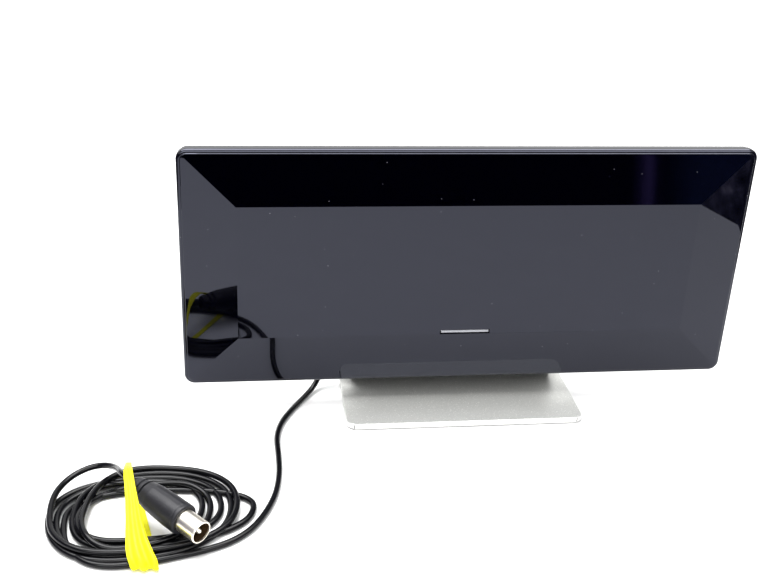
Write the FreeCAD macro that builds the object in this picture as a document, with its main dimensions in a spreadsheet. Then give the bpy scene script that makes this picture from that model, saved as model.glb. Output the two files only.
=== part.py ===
import FreeCAD, Part

import math
import os
import re

import Sketcher
from FreeCAD import Placement, Rotation, Vector

# Indoor television antenna: a tilting flat panel on a low metal stand, with a coaxial
# lead that is coiled, tied with a rubber band and ends in a plug.
#
# Row frame, millimetres: +X to the right as seen from the front, the panel faces -Y,
# +Z up.  The origin is on the table, under the middle of the panel and of the stand.

# ---------------------------------------------------------------- driving dimensions

DIMENSIONS = [
    # panel
    ("panel_width", 270),
    ("panel_height", 118),
    ("panel_gap", 14),  # from the table to the panel's lower edge
    ("panel_front", -12),  # Y of the front outline
    ("corner_radius", 5),
    ("wall", 2),
    ("rim_width", 2),
    ("border_round", 1.1),
    ("facet_inset", 26),  # from the outline to the raised middle
    ("facet_rise", 3.4),
    ("front_depth", 4),  # side wall of the front cover
    ("rear_inset", 0.7),
    ("rear_round", 1.8),
    ("seam_width", 0.8),
    ("seam_depth", 1.4),
    ("rim_depth", 9),  # from the front outline to the rear cover's edge
    ("bulge_depth", 11.5),
    ("bulge_inset", 14),
    ("slot_width", 24.4),
    ("slot_height", 2.4),
    ("slot_middle", -31.3),  # below the panel's middle
    # electronics housing on the rear cover
    ("housing_half", 55),
    ("housing_low", -50),
    ("housing_top", 8),
    ("housing_depth", 18),
    ("housing_draft", 4),
    ("housing_round", 1.6),
    # screws of the covers
    ("boss_x", 122),
    ("boss_y", 46),
    ("boss_mid_x", 72),
    ("boss_radius", 4.2),
    ("boss_plane", 3.6),  # where front and rear bosses meet, behind the outline
    ("well_radius", 2.8),
    ("well_floor", 6.2),
    ("screw_radius", 1.2),
    ("screw_head_radius", 2.4),
    ("screw_head_height", 1.5),
    ("recess_long", 2.6),
    ("recess_wide", 0.5),
    # antenna board
    ("board_half_x", 116),
    ("board_half_y", 41),
    ("board_front", 3),  # behind the outline
    ("board_thick", 1),
    ("post_x", 60),
    ("post_y", 30),
    ("post_radius", 2.6),
    ("foil", 0.3),
    ("feed_x", 6),  # the two pins that join the antenna board to the amplifier
    ("feed_y", -9),
    ("feed_radius", 0.65),
    ("feed_head", 1.3),
    ("feed_hole", 0.75),
    ("loop_width", 3),
    # amplifier board
    ("amp_half_x", 28),
    ("amp_low", -37),
    ("amp_top", -7),
    ("amp_front", 10),
    ("amp_thick", 1.2),
    ("amp_post_x", 24),
    ("amp_post_radius", 2.4),
    ("shield_half_x", 17),
    ("shield_low", -32),
    ("shield_top", -12.5),
    ("shield_height", 4.6),
    ("shield_sheet", 0.5),
    # clamp of the inner lead, on two posts of the housing
    ("clamp_x", -10),
    ("clamp_half", 8.3),
    ("clamp_screw_off", 5.5),  # from the clamp's middle to each screw
    ("clamp_y", -41.5),
    ("clamp_seat", -14.6),
    # hinge
    ("pivot_y", 8.5),
    ("pivot_z", 12),
    ("barrel_radius", 7),
    ("barrel_bore", 4.6),
    ("barrel_half", 46),
    ("bush_length", 9),
    ("bush_bore", 3.05),
    ("pivot_radius", 3),
    ("pivot_bore", 2),
    ("cheek_inner", 46.9),
    ("cheek_outer", 52),
    ("cheek_radius", 7.5),
    ("washer_radius", 6.4),
    ("washer_thick", 0.6),
    ("pivot_length", 13.5),
    ("cap_radius", 5.2),
    # stand
    ("plate_width", 116),
    ("plate_depth", 72),
    ("plate_top", 3.2),
    ("skin", 1),
    ("lip_low", 0.4),
    ("plate_corner", 5),
    ("ballast_low", 0.8),
    ("foot_radius", 5),
    ("bar_front", 17),
    ("bar_rear", 31),
    ("bar_top", 13),
    ("stand_screw_x", 34),
    ("stand_boss_radius", 3.2),
    ("stand_screw_head", 2.2),
    # lead
    ("lead_radius", 1.35),
    ("relief_length", 8),
    ("relief_collar", 4.6),
    # coil of the lead
    ("coil_x", -144.7),
    ("coil_y", -97.4),
    ("coil_half_long", 43.2),
    ("coil_half_short", 33.6),
    ("coil_turn", 4),  # degrees from +X
    ("coil_bundle", 9),  # half width of the bundle
    ("coil_height", 6),
    ("band_x", -152),
    ("band_turn", 8),  # degrees from +Y
    ("band_left", 3.4),  # from the band's middle line to its left edge
    ("band_width", 4.5),
    ("band_thick", 0.8),
    ("band_flat", 4),  # half of the stretch that lies over the plug's tail
    ("band_peak", 21.2),
    # plug
    ("plug_x", -130.6),
    ("plug_y", -118),
    ("plug_z", 13.1),
    ("plug_heading", 44),  # degrees from the front towards the right
    ("plug_dip", 6),
    ("plug_length", 29),  # moulded body, from the shell's root to the lead
    ("plug_buried", 9),  # how deep the shell's root sits in the body
    ("shell_radius", 4.75),
    ("shell_tail_radius", 4.4),
    ("shell_length", 9.8),
    ("shell_bore", 4.2),
    ("shell_tail_bore", 4),
    ("pin_radius", 1.2),
    ("pin_length", 8.9),
]

doc = FreeCAD.newDocument("TvAntenna")
sheet = doc.addObject("Spreadsheet::Sheet", "Sizes")
for row, (alias, number) in enumerate(DIMENSIONS, start=1):
    sheet.set(f"A{row}", alias)
    sheet.set(f"B{row}", str(number))
    sheet.setAlias(f"B{row}", alias)
doc.recompute()

ALIAS = re.compile(r"\b(" + "|".join(alias for alias, _ in DIMENSIONS) + r")\b")
parts = []  # the sub-parts, in the order they are made


# ---------------------------------------------------------------- helpers


def bound(text):
    """An expression over the sheet's aliases, as the document writes it."""
    return ALIAS.sub(r"Sizes.\1", str(text))


def value(text):
    """The number that an expression over the sheet's aliases has now."""
    found = sheet.evalExpression(bound(text))
    return float(getattr(found, "Value", found))


def bind(thing, **properties):
    for name, text in properties.items():
        thing.setExpression(name.replace("__", "."), bound(text))


def in_row_frame(thing):
    """Leaves a sub-part in the row frame."""
    thing.Placement = Placement()


def where_made(thing):
    """Leaves a sub-part where its own features or expressions put it."""


def in_panel_frame(thing):
    """Puts a sub-part in the panel's frame: x right, y up, z out of the panel's front."""
    thing.Placement = Placement(Vector(), Rotation(Vector(1, 0, 0), 90))
    thing.setExpression("Placement.Base.y", bound("panel_front"))
    thing.setExpression("Placement.Base.z", bound("panel_gap + panel_height / 2"))


def plug_nose():
    """The direction that the plug's mouth points in."""
    heading = math.radians(value("plug_heading"))
    dip = math.radians(value("plug_dip"))
    level = math.cos(dip)
    return Vector(math.sin(heading) * level, -math.cos(heading) * level, -math.sin(dip))


def plug_axis_point(distance):
    """A point on the plug's axis, that far from the shell's root."""
    root = Vector(value("plug_x"), value("plug_y"), value("plug_z"))
    return tuple(root + plug_nose() * value(distance))


def in_plug_frame(thing):
    """Puts a sub-part in the plug's frame: z towards the mouth, the origin at the shell's root."""
    thing.Placement = Placement(Vector(), Rotation(Vector(0, 0, 1), plug_nose()))
    for axis in "xyz":
        thing.setExpression(f"Placement.Base.{axis}", bound(f"plug_{axis}"))


def keep(thing, label, frame):
    """Makes a document object a sub-part with its node name and its place."""
    thing.Label = label
    frame(thing)
    parts.append(thing)
    return thing


def new_body(label, frame):
    return keep(doc.addObject("PartDesign::Body", label), label, frame)


def origin_plane(body, role):
    return next(f for f in body.Origin.OriginFeatures if f.Role == role)


def sketch_on(body, name, height="0", role="XY_Plane"):
    """An empty sketch on a plane of the body's own origin, moved along its normal."""
    sketch = body.newObject("Sketcher::SketchObject", name)
    sketch.AttachmentSupport = [(origin_plane(body, role), "")]
    sketch.MapMode = "FlatFace"
    sketch.setExpression("AttachmentOffset.Base.z", bound(height))
    return sketch


def draw_polygon(sketch, points):
    """A closed outline; every corner is held by expressions over the sheet."""
    corners = [Vector(value(x), value(y), 0) for x, y in points]
    first = sketch.GeometryCount
    for i, corner in enumerate(corners):
        sketch.addGeometry(Part.LineSegment(corner, corners[(i + 1) % len(corners)]))
    for i in range(len(corners)):
        after = first + (i + 1) % len(corners)
        sketch.addConstraint(Sketcher.Constraint("Coincident", first + i, 2, after, 1))
    for i, (x, y) in enumerate(points):
        for kind, text, number in (("DistanceX", x, corners[i].x), ("DistanceY", y, corners[i].y)):
            rule = Sketcher.Constraint(kind, -1, 1, first + i, 1, number)
            index = sketch.addConstraint(rule)
            sketch.setExpression(f"Constraints[{index}]", bound(text))


def draw_rectangle(sketch, left, low, right, top):
    draw_polygon(sketch, [(left, low), (right, low), (right, top), (left, top)])


def draw_inset(sketch, inset, width="panel_width", height="panel_height"):
    """A rectangle round the origin, that far inside an outline."""
    half_x, half_y = f"({width} / 2 - ({inset}))", f"({height} / 2 - ({inset}))"
    draw_rectangle(sketch, f"-{half_x}", f"-{half_y}", half_x, half_y)


def draw_circle(sketch, x, y, radius):
    centre = Vector(value(x), value(y), 0)
    circle = Part.Circle(centre, Vector(0, 0, 1), value(radius))
    index = sketch.addGeometry(circle)
    for kind, text, number in (("DistanceX", x, centre.x), ("DistanceY", y, centre.y)):
        rule = sketch.addConstraint(Sketcher.Constraint(kind, -1, 1, index, 3, number))
        sketch.setExpression(f"Constraints[{rule}]", bound(text))
    rule = sketch.addConstraint(Sketcher.Constraint("Radius", index, value(radius)))
    sketch.setExpression(f"Constraints[{rule}]", bound(radius))


def volume_of(body):
    doc.recompute()
    return body.Shape.Volume


def pad(body, sketch, length, down=False):
    feature = body.newObject("PartDesign::Pad", sketch.Name + "_pad")
    feature.Profile = sketch
    feature.Reversed = down
    bind(feature, Length=length)
    body.Tip = feature
    doc.recompute()
    return feature


def pocket(body, sketch, length=None):
    """Cuts towards +z of the sketch for a length, or through everything both ways."""
    before = volume_of(body)
    feature = body.newObject("PartDesign::Pocket", sketch.Name + "_pocket")
    feature.Profile = sketch
    if length is None:
        feature.Type = "ThroughAll"
        feature.Midplane = True
    else:
        feature.Reversed = True
        bind(feature, Length=length)
    body.Tip = feature
    if volume_of(body) > before - 1e-6:
        raise RuntimeError(f"{feature.Label} cuts nothing")
    return feature


def loft(body, kind, name, first, second):
    feature = body.newObject(f"PartDesign::{kind}Loft", name)
    feature.Profile = first
    feature.Sections = [second]
    feature.Ruled = True
    body.Tip = feature
    doc.recompute()
    return feature


def round_edges(body, name, radius, chosen, kind="Fillet"):
    """Rounds or chamfers the edges of the body's tip that the test picks."""
    doc.recompute()
    base = body.Tip
    edges = [f"Edge{i + 1}" for i, edge in enumerate(base.Shape.Edges) if chosen(edge)]
    if not edges:
        raise RuntimeError(f"{name} finds no edge")
    feature = body.newObject(f"PartDesign::{kind}", name)
    feature.Base = (base, edges)
    if kind == "Fillet":
        bind(feature, Radius=radius)
    else:
        bind(feature, Size=radius)
    body.Tip = feature
    doc.recompute()
    return feature


def corner_edge(edge, x, y):
    """True on an edge along z that stands at a corner of the rectangle of these half sizes."""
    low, high = edge.Vertexes[0].Point, edge.Vertexes[-1].Point
    along_z = abs(low.x - high.x) + abs(low.y - high.y) < 1e-6
    return along_z and abs(abs(low.x) - x) < 1e-4 and abs(abs(low.y) - y) < 1e-4


def at_height(edge, z):
    return all(abs(v.Point.z - z) < 1e-4 for v in edge.Vertexes)


def plate_body(label, frame, outline, low, thickness):
    """A flat piece: a polygon padded upwards from a height."""
    body = new_body(label, frame)
    sketch = sketch_on(body, label + "_outline", low)
    draw_polygon(sketch, outline)
    pad(body, sketch, thickness)
    return body


def drill(body, name, places, radius, low, length=None):
    sketch = sketch_on(body, name, low)
    for x, y in places:
        draw_circle(sketch, x, y, radius)
    pocket(body, sketch, length)


def turned(label, frame, profile, place=None, axis=None):
    """A turned piece: (radius, height) corners spun about its own z, then laid along an axis."""
    body = new_body(label, frame)
    sketch = sketch_on(body, label + "_profile", role="XZ_Plane")
    draw_polygon(sketch, profile)
    spin = body.newObject("PartDesign::Revolution", label + "_turned")
    spin.Profile = sketch
    spin.ReferenceAxis = (sketch, ["V_Axis"])
    spin.Angle = 360
    body.Tip = spin
    if place is not None:
        body.Placement = Placement(Vector(), Rotation(Vector(0, 0, 1), axis))
        for name, text in zip("xyz", place):
            body.setExpression(f"Placement.Base.{name}", bound(text))
    doc.recompute()
    return body


def cylinder(name, radius, low, length, x="0", y="0"):
    solid = doc.addObject("Part::Cylinder", name)
    bind(solid, Radius=radius, Height=length)
    bind(solid, Placement__Base__x=x, Placement__Base__y=y, Placement__Base__z=low)
    return solid


def screw(name, x, y, seat, reach, heading, shank="screw_radius", head="screw_head_radius"):
    """A pan-head screw along z with a cross recess; it points up for heading 1, down for -1."""
    tall = "screw_head_height"
    above, below = (seat, f"({seat}) - {tall}") if heading > 0 else (f"({seat}) - ({reach})", seat)
    stem = cylinder(name + "_shank", shank, above, reach, x, y)
    cap = cylinder(name + "_head", head, below, tall, x, y)
    whole = doc.addObject("Part::MultiFuse", name + "_whole")
    whole.Shapes = [stem, cap]
    blades = []
    for turn, (long, wide) in enumerate((("recess_long", "recess_wide"), ("recess_wide", "recess_long"))):
        blade = doc.addObject("Part::Box", f"{name}_blade{turn}")
        bind(blade, Length=long, Width=wide, Height="1")
        low = f"{below} - 0.3" if heading > 0 else f"{below} + {tall} - 0.7"
        bind(blade, Placement__Base__x=f"({x}) - {long} / 2", Placement__Base__y=f"({y}) - {wide} / 2")
        bind(blade, Placement__Base__z=low)
        blades.append(blade)
    cross = doc.addObject("Part::MultiFuse", name + "_cross")
    cross.Shapes = blades
    cut = doc.addObject("Part::Cut", name)
    cut.Base, cut.Tool = whole, cross
    return cut


def group(label, frame, members):
    """Identical separate solids that share one node."""
    compound = doc.addObject("Part::Compound", label)
    compound.Links = members
    return keep(compound, label, frame)


def path_of(points):
    """Straight runs joined by tangent arcs, each as large as its two runs allow."""
    corners = [Vector(*p) for p in points]
    edges, radii, start = [], [], corners[0]
    for before, here, after in zip(corners, corners[1:], corners[2:]):
        inward, outward = before - here, after - here
        reach = 0.45 * min(inward.Length, outward.Length)
        inward.normalize()
        outward.normalize()
        turn = math.pi - inward.getAngle(outward)
        radii.append(reach / math.tan(turn / 2))
        first, last = here + inward * reach, here + outward * reach
        bisector = (inward + outward).normalize()
        depth = radii[-1] * (1 / math.cos(turn / 2) - 1)
        edges.append(Part.LineSegment(start, first).toShape())
        edges.append(Part.Arc(first, here + bisector * depth, last).toShape())
        start = last
    edges.append(Part.LineSegment(start, corners[-1]).toShape())
    return Part.Wire(edges), radii


def tube(label, frame, points, radius):
    """A plain round tube along a route, checked against its section times its length."""
    path, radii = path_of(points)
    start = path.Edges[0].Vertexes[0].Point
    along = path.Edges[0].tangentAt(path.Edges[0].FirstParameter)
    ring = Part.Wire(Part.Circle(start, along, radius).toShape())
    solid = path.makePipeShell([ring], True, False)
    share = solid.Volume / (math.pi * radius**2 * path.Length)
    print(f"{label}: {path.Length:.1f} mm, volume share {share:.3f}, lowest {solid.BoundBox.ZMin:.2f}")
    print("  radii " + " ".join(f"{r:.1f}" for r in radii))
    if abs(share - 1) > 0.02:
        raise RuntimeError(f"{label} is not a clean tube")
    thing = doc.addObject("Part::Feature", label)
    thing.Shape = solid
    return keep(thing, label, frame)


# ---------------------------------------------------------------- panel: covers

COVER_SCREWS = [("-boss_x", "-boss_y"), ("boss_x", "-boss_y"), ("-boss_x", "boss_y")]
COVER_SCREWS += [("boss_x", "boss_y"), ("0", "boss_y")]
COVER_SCREWS += [("-boss_mid_x", "-boss_y"), ("boss_mid_x", "-boss_y")]
BOARD_POSTS = [(f"{i}post_x", f"{j}post_y") for i in ("-", "") for j in ("-", "")]
AMP_POSTS = [(f"{i}amp_post_x", y) for i in ("-", "") for y in ("amp_low + 4", "amp_top - 4")]
CLAMP_SCREWS = [("clamp_x - clamp_screw_off", "clamp_y"), ("clamp_x + clamp_screw_off", "clamp_y")]
FEEDS = [("-feed_x", "feed_y"), ("feed_x", "feed_y")]


def front_cover():
    """Gloss shell: a thin rim, four sloping facets with mitred corners, a raised middle."""
    body = new_body("front_cover", in_panel_frame)
    outline = sketch_on(body, "front_outline")
    draw_inset(outline, "0")
    pad(body, outline, "front_depth", down=True)
    half_x, half_y = value("panel_width / 2"), value("panel_height / 2")
    round_edges(body, "front_corners", "corner_radius", lambda e: corner_edge(e, half_x, half_y))
    round_edges(body, "front_border", "border_round", lambda e: at_height(e, 0))
    foot = sketch_on(body, "facet_foot", "-0.01")
    draw_inset(foot, "rim_width")
    crown = sketch_on(body, "facet_crown", "facet_rise")
    draw_inset(crown, "facet_inset")
    loft(body, "Additive", "facets", foot, crown)
    hollow = sketch_on(body, "front_hollow", "-front_depth")
    draw_inset(hollow, "wall")
    pocket(body, hollow, "front_depth - wall + 0.1")
    low = sketch_on(body, "inner_foot", "-wall")
    draw_inset(low, "wall + 2.2")
    high = sketch_on(body, "inner_crown", "facet_rise - wall")
    draw_inset(high, "facet_inset + 0.8")
    loft(body, "Subtractive", "inner_facets", low, high)
    bosses = sketch_on(body, "front_bosses", "-boss_plane")
    for x, y in COVER_SCREWS:
        draw_circle(bosses, x, y, "boss_radius - 1")
    pad(body, bosses, "boss_plane - 0.2")
    posts = sketch_on(body, "board_posts", "-board_front")
    for x, y in BOARD_POSTS:
        draw_circle(posts, x, y, "post_radius")
    pad(body, posts, "board_front + facet_rise - wall + 0.2")
    drill(body, "cover_pilots", COVER_SCREWS, "screw_radius + 0.05", "-boss_plane", "boss_plane - 0.6")
    drill(body, "board_pilots", BOARD_POSTS, "screw_radius + 0.05", "-board_front", "4.2")
    slot = sketch_on(body, "indicator_slot")
    reach, rise = "slot_width / 2", "slot_height / 2"
    draw_rectangle(slot, f"-{reach}", f"slot_middle - {rise}", reach, f"slot_middle + {rise}")
    pocket(body, slot)
    return body


def rear_cover():
    """Matt shell with a seam groove, a low bulge, the electronics housing and the hinge barrel."""
    body = new_body("rear_cover", in_panel_frame)
    lip = sketch_on(body, "seam_lip", "-front_depth")
    draw_inset(lip, "seam_depth + rear_inset")
    pad(body, lip, "seam_width", down=True)
    skirt = sketch_on(body, "rear_skirt", "-(front_depth + seam_width)")
    draw_inset(skirt, "rear_inset")
    pad(body, skirt, "rim_depth - front_depth - seam_width", down=True)
    half_x, half_y = value("panel_width / 2 - rear_inset"), value("panel_height / 2 - rear_inset")
    rear_radius = "corner_radius - rear_inset"
    round_edges(body, "rear_corners", rear_radius, lambda e: corner_edge(e, half_x, half_y))
    edge_z = -value("rim_depth")
    round_edges(body, "rear_border", "rear_round", lambda e: at_height(e, edge_z))
    low = sketch_on(body, "bulge_foot", "-rim_depth + 0.01")
    draw_inset(low, "4")
    high = sketch_on(body, "bulge_crown", "-bulge_depth")
    draw_inset(high, "bulge_inset")
    loft(body, "Additive", "bulge", low, high)

    hump_low = sketch_on(body, "housing_foot", "-bulge_depth + 1")
    draw_rectangle(hump_low, "-housing_half - housing_draft / 2", "housing_low",
                   "housing_half + housing_draft / 2", "housing_top + housing_draft")
    hump_high = sketch_on(body, "housing_crown", "-housing_depth")
    draw_rectangle(hump_high, "-housing_half + housing_draft / 2", "housing_low + 1",
                   "housing_half - housing_draft / 2", "housing_top - housing_draft")
    loft(body, "Additive", "housing", hump_low, hump_high)
    crown_z = -value("housing_depth")
    round_edges(body, "housing_edge", "housing_round", lambda e: at_height(e, crown_z))

    axis_y = "pivot_z - panel_gap - panel_height / 2"
    axis_z = "-(pivot_y - panel_front)"
    web = sketch_on(body, "barrel_web", "-barrel_half", "YZ_Plane")
    draw_polygon(web, [
        ("housing_low + 6", "-housing_depth"),
        ("housing_low + 6", "-bulge_depth"),
        ("-panel_height / 2 + 1.6", "-front_depth - seam_width - 1"),
        ("-panel_height / 2 + 1.6", "-rim_depth + 1"),
        (f"{axis_y} - barrel_radius * 0.5", f"{axis_z} + barrel_radius * 0.86"),
        (axis_y, axis_z),
        (f"{axis_y} + barrel_radius", axis_z),
    ])
    pad(body, web, "2 * barrel_half")
    barrel = sketch_on(body, "barrel_round", "-barrel_half", "YZ_Plane")
    draw_circle(barrel, axis_y, axis_z, "barrel_radius")
    pad(body, barrel, "2 * barrel_half")

    inside = sketch_on(body, "rear_hollow", "-rim_depth + 0.2")
    draw_inset(inside, "wall + 1.6")
    pocket(body, inside, "rim_depth")
    low = sketch_on(body, "inner_bulge_foot", "-rim_depth + 0.3")
    draw_inset(low, "wall + 3")
    high = sketch_on(body, "inner_bulge_crown", "-bulge_depth + wall")
    draw_inset(high, "bulge_inset + 1")
    loft(body, "Subtractive", "inner_bulge", low, high)
    room = sketch_on(body, "inner_housing", "-housing_depth + wall")
    draw_rectangle(room, "-housing_half + 4", "housing_low + 4", "housing_half - 4", "housing_top - 6")
    pocket(body, room, "housing_depth")

    bore = sketch_on(body, "barrel_bore_round", "-barrel_half - 1", "YZ_Plane")
    draw_circle(bore, axis_y, axis_z, "barrel_bore")
    pocket(body, bore, "2 * barrel_half + 2")
    tunnel = sketch_on(body, "lead_tunnel", "-24", "YZ_Plane")
    draw_polygon(tunnel, [
        (axis_y, f"{axis_z} + 3.6"), (axis_y, axis_z), (f"{axis_y} + 3.6", f"{axis_z} - 1"),
        ("housing_low + 6", "-housing_depth + 2.6"), ("housing_low + 6", "-housing_depth + 8"),
    ])
    pocket(body, tunnel, "18")

    bosses = sketch_on(body, "rear_bosses", "-boss_plane")
    for x, y in COVER_SCREWS:
        draw_circle(bosses, x, y, "boss_radius")
    pad(body, bosses, "bulge_depth - boss_plane - 1.2", down=True)
    drill(body, "screw_wells", COVER_SCREWS, "well_radius", "-housing_depth - 1",
          "housing_depth + 1 - well_floor")
    drill(body, "screw_holes", COVER_SCREWS, "screw_radius + 0.2", "-well_floor - 1", "well_floor")
    posts = sketch_on(body, "amp_posts", "-(amp_front + amp_thick)")
    for x, y in AMP_POSTS:
        draw_circle(posts, x, y, "amp_post_radius")
    pad(body, posts, "housing_depth - amp_front - amp_thick - 1", down=True)
    drill(body, "amp_pilots", AMP_POSTS, "screw_radius - 0.15", "-(amp_front + amp_thick) - 4", "4.5")
    saddle = sketch_on(body, "clamp_posts", "clamp_seat")
    low, high = "clamp_y - 2.5", "clamp_y + 2.5"
    draw_rectangle(saddle, "clamp_x - clamp_half - 0.2", low, "clamp_x - 2.6", high)
    draw_rectangle(saddle, "clamp_x + 2.6", low, "clamp_x + clamp_half + 0.2", high)
    pad(body, saddle, "housing_depth + clamp_seat - 1", down=True)
    drill(body, "clamp_pilots", CLAMP_SCREWS, "0.95", "-17.4", "4")
    return body


def light_guide():
    """Clear bar in the indicator slot, with a flange behind the wall and a stem to the lamp."""
    body = new_body("light_guide", in_panel_frame)
    bar = sketch_on(body, "guide_bar", "facet_rise - wall - 0.1")
    reach, rise = "(slot_width / 2 - 0.1)", "(slot_height / 2 - 0.1)"
    draw_rectangle(bar, f"-{reach}", f"slot_middle - {rise}", reach, f"slot_middle + {rise}")
    pad(body, bar, "wall - 0.15")
    flange = sketch_on(body, "guide_flange", "facet_rise - wall - 0.9")
    side = "slot_width / 2 + 1.2"
    draw_rectangle(flange, f"-({side})", "slot_middle - 1.2", side, "slot_middle + 2.4")
    pad(body, flange, "0.85")
    stem = sketch_on(body, "guide_stem", "-1.2")
    draw_rectangle(stem, "-2.2", "slot_middle - 1", "2.2", "slot_middle + 1")
    pad(body, stem, "facet_rise - wall + 0.4")
    return body


# ---------------------------------------------------------------- panel: electronics


def antenna_board():
    body = plate_body("antenna_board", in_panel_frame,
                      [("-board_half_x", "-board_half_y"), ("board_half_x", "-board_half_y"),
                       ("board_half_x", "board_half_y"), ("-board_half_x", "board_half_y")],
                      "-board_front - board_thick", "board_thick")
    drill(body, "board_holes", BOARD_POSTS, "screw_radius + 0.15", "-board_front - board_thick - 1", "3")
    drill(body, "feed_holes", FEEDS, "feed_hole", "-board_front - board_thick - 1", "3")
    return body


def elements():
    """Two tapered plates fed at the middle, and a narrow loop round them."""
    for side, sign in (("left", "-"), ("right", "")):
        plate = plate_body(f"uhf_element_{side}", in_panel_frame, [
            (f"{sign}3", "-14"), (f"{sign}12", "-14"), (f"{sign}104", "-32"),
            (f"{sign}104", "26"), (f"{sign}12", "-4"), (f"{sign}3", "-4"),
        ], "-board_front", "foil")
        feed = [(f"{sign}feed_x", "feed_y")]
        drill(plate, f"feed_hole_{side}", feed, "feed_hole", "-board_front - 1", "3")
    body = new_body("vhf_loop", in_panel_frame)
    strip = sketch_on(body, "loop_strip", "-board_front")
    out_x, out_y = "board_half_x - 3", "board_half_y - 2"
    in_x, in_y = f"{out_x} - loop_width", f"{out_y} - loop_width"
    draw_polygon(strip, [
        ("-2", f"-({out_y})"), (f"-({out_x})", f"-({out_y})"), (f"-({out_x})", out_y),
        (out_x, out_y), (out_x, f"-({out_y})"), ("2", f"-({out_y})"),
        ("2", f"-({in_y})"), (in_x, f"-({in_y})"), (in_x, in_y),
        (f"-({in_x})", in_y), (f"-({in_x})", f"-({in_y})"), ("-2", f"-({in_y})"),
    ])
    pad(body, strip, "foil")


def feed_pins():
    """Brass pins that carry each plate's signal through the board to the amplifier."""
    for side, (x, y) in zip(("left", "right"), FEEDS):
        body = new_body(f"feed_pin_{side}", in_panel_frame)
        shank = sketch_on(body, f"feed_{side}_shank", "-amp_front")
        draw_circle(shank, x, y, "feed_radius")
        pad(body, shank, "amp_front - board_front - foil / 2")
        head = sketch_on(body, f"feed_{side}_head", "-board_front + foil")
        draw_circle(head, x, y, "feed_head")
        pad(body, head, "0.5")
        core = sketch_on(body, f"feed_{side}_neck", "-board_front - 0.5")
        draw_circle(core, x, y, "feed_radius")
        pad(body, core, "foil + 0.6")


def amplifier():
    body = plate_body("amplifier_board", in_panel_frame,
                      [("-amp_half_x", "amp_low"), ("amp_half_x", "amp_low"),
                       ("amp_half_x", "amp_top"), ("-amp_half_x", "amp_top")],
                      "-amp_front - amp_thick", "amp_thick")
    drill(body, "amp_holes", AMP_POSTS, "screw_radius", "-amp_front - amp_thick - 1", "3")
    frame = new_body("shield_frame", in_panel_frame)
    wall = sketch_on(frame, "shield_wall", "-amp_front")
    draw_rectangle(wall, "-shield_half_x", "shield_low", "shield_half_x", "shield_top")
    pad(frame, wall, "shield_height")
    inside = sketch_on(frame, "shield_inside", "-amp_front - 1")
    inner_x = "(shield_half_x - shield_sheet)"
    draw_rectangle(inside, f"-{inner_x}", "shield_low + shield_sheet", inner_x, "shield_top - shield_sheet")
    pocket(frame, inside, "shield_height + 2")
    plate_body("shield_lid", in_panel_frame,
               [("-shield_half_x", "shield_low"), ("shield_half_x", "shield_low"),
                ("shield_half_x", "shield_top"), ("-shield_half_x", "shield_top")],
               "-amp_front + shield_height", "shield_sheet - 0.1")
    chip = plate_body("amplifier_chip", in_panel_frame,
                      [("-3", "-24"), ("3", "-24"), ("3", "-19"), ("-3", "-19")], "-amp_front", "1.6")
    round_edges(chip, "chip_edge", "0.3", lambda e: at_height(e, 1.6 - value("amp_front")), "Chamfer")
    core = plate_body("balun_core", in_panel_frame,
                      [("-25", "-19.5"), ("-18.2", "-19.5"), ("-18.2", "-14.5"), ("-25", "-14.5")],
                      "-amp_front", "3.6")
    drill(core, "balun_bores", [("-23.3", "-17"), ("-19.9", "-17")], "0.8", "-amp_front - 1", "6")
    lamp = plate_body("status_lamp", in_panel_frame,
                      [("-1.6", "slot_middle - 0.8"), ("1.6", "slot_middle - 0.8"),
                       ("1.6", "slot_middle + 0.8"), ("-1.6", "slot_middle + 0.8")],
                      "-board_front", "1.5")
    round_edges(lamp, "lamp_edge", "0.25", lambda e: at_height(e, 1.5 - value("board_front")))


def inner_lead():
    """The lead's inner end: along the hinge axis, up through the tunnel, under the board."""
    x_out = -value("cheek_outer")
    y_axis = value("pivot_z - panel_gap - panel_height / 2")
    z_axis = -value("pivot_y - panel_front")
    z_end = -value("amp_front + amp_thick + lead_radius + 0.1")
    x_clamp = value("clamp_x")
    route = [(x_out, y_axis, z_axis), (2 * x_clamp, y_axis, z_axis)]
    route += [(x_clamp, y_axis + 13, z_axis + 6.6), (x_clamp, value("shield_low"), z_end)]
    tube("inner_lead", in_panel_frame, route, value("lead_radius"))


def lead_clamp():
    """A saddle screwed over the inner lead so that a pull never reaches the board."""
    body = new_body("lead_clamp", in_panel_frame)
    strap = sketch_on(body, "clamp_strap", "39.2", "XZ_Plane")
    left, right = "clamp_x - clamp_half", "clamp_x + clamp_half"
    draw_polygon(strap, [
        (left, "clamp_seat"), ("clamp_x - 2.6", "clamp_seat"), ("clamp_x - 2.6", "clamp_seat + 3.1"),
        ("clamp_x + 2.6", "clamp_seat + 3.1"), ("clamp_x + 2.6", "clamp_seat"),
        (right, "clamp_seat"), (right, "clamp_seat + 1.4"),
        ("clamp_x + 3.7", "clamp_seat + 1.4"), ("clamp_x + 3.7", "clamp_seat + 3.9"),
        ("clamp_x - 3.7", "clamp_seat + 3.9"), ("clamp_x - 3.7", "clamp_seat + 1.4"),
        (left, "clamp_seat + 1.4"),
    ])
    pad(body, strap, "4.6")
    drill(body, "clamp_holes", CLAMP_SCREWS, "1.15", "-15.6", "6")
    return body


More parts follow.
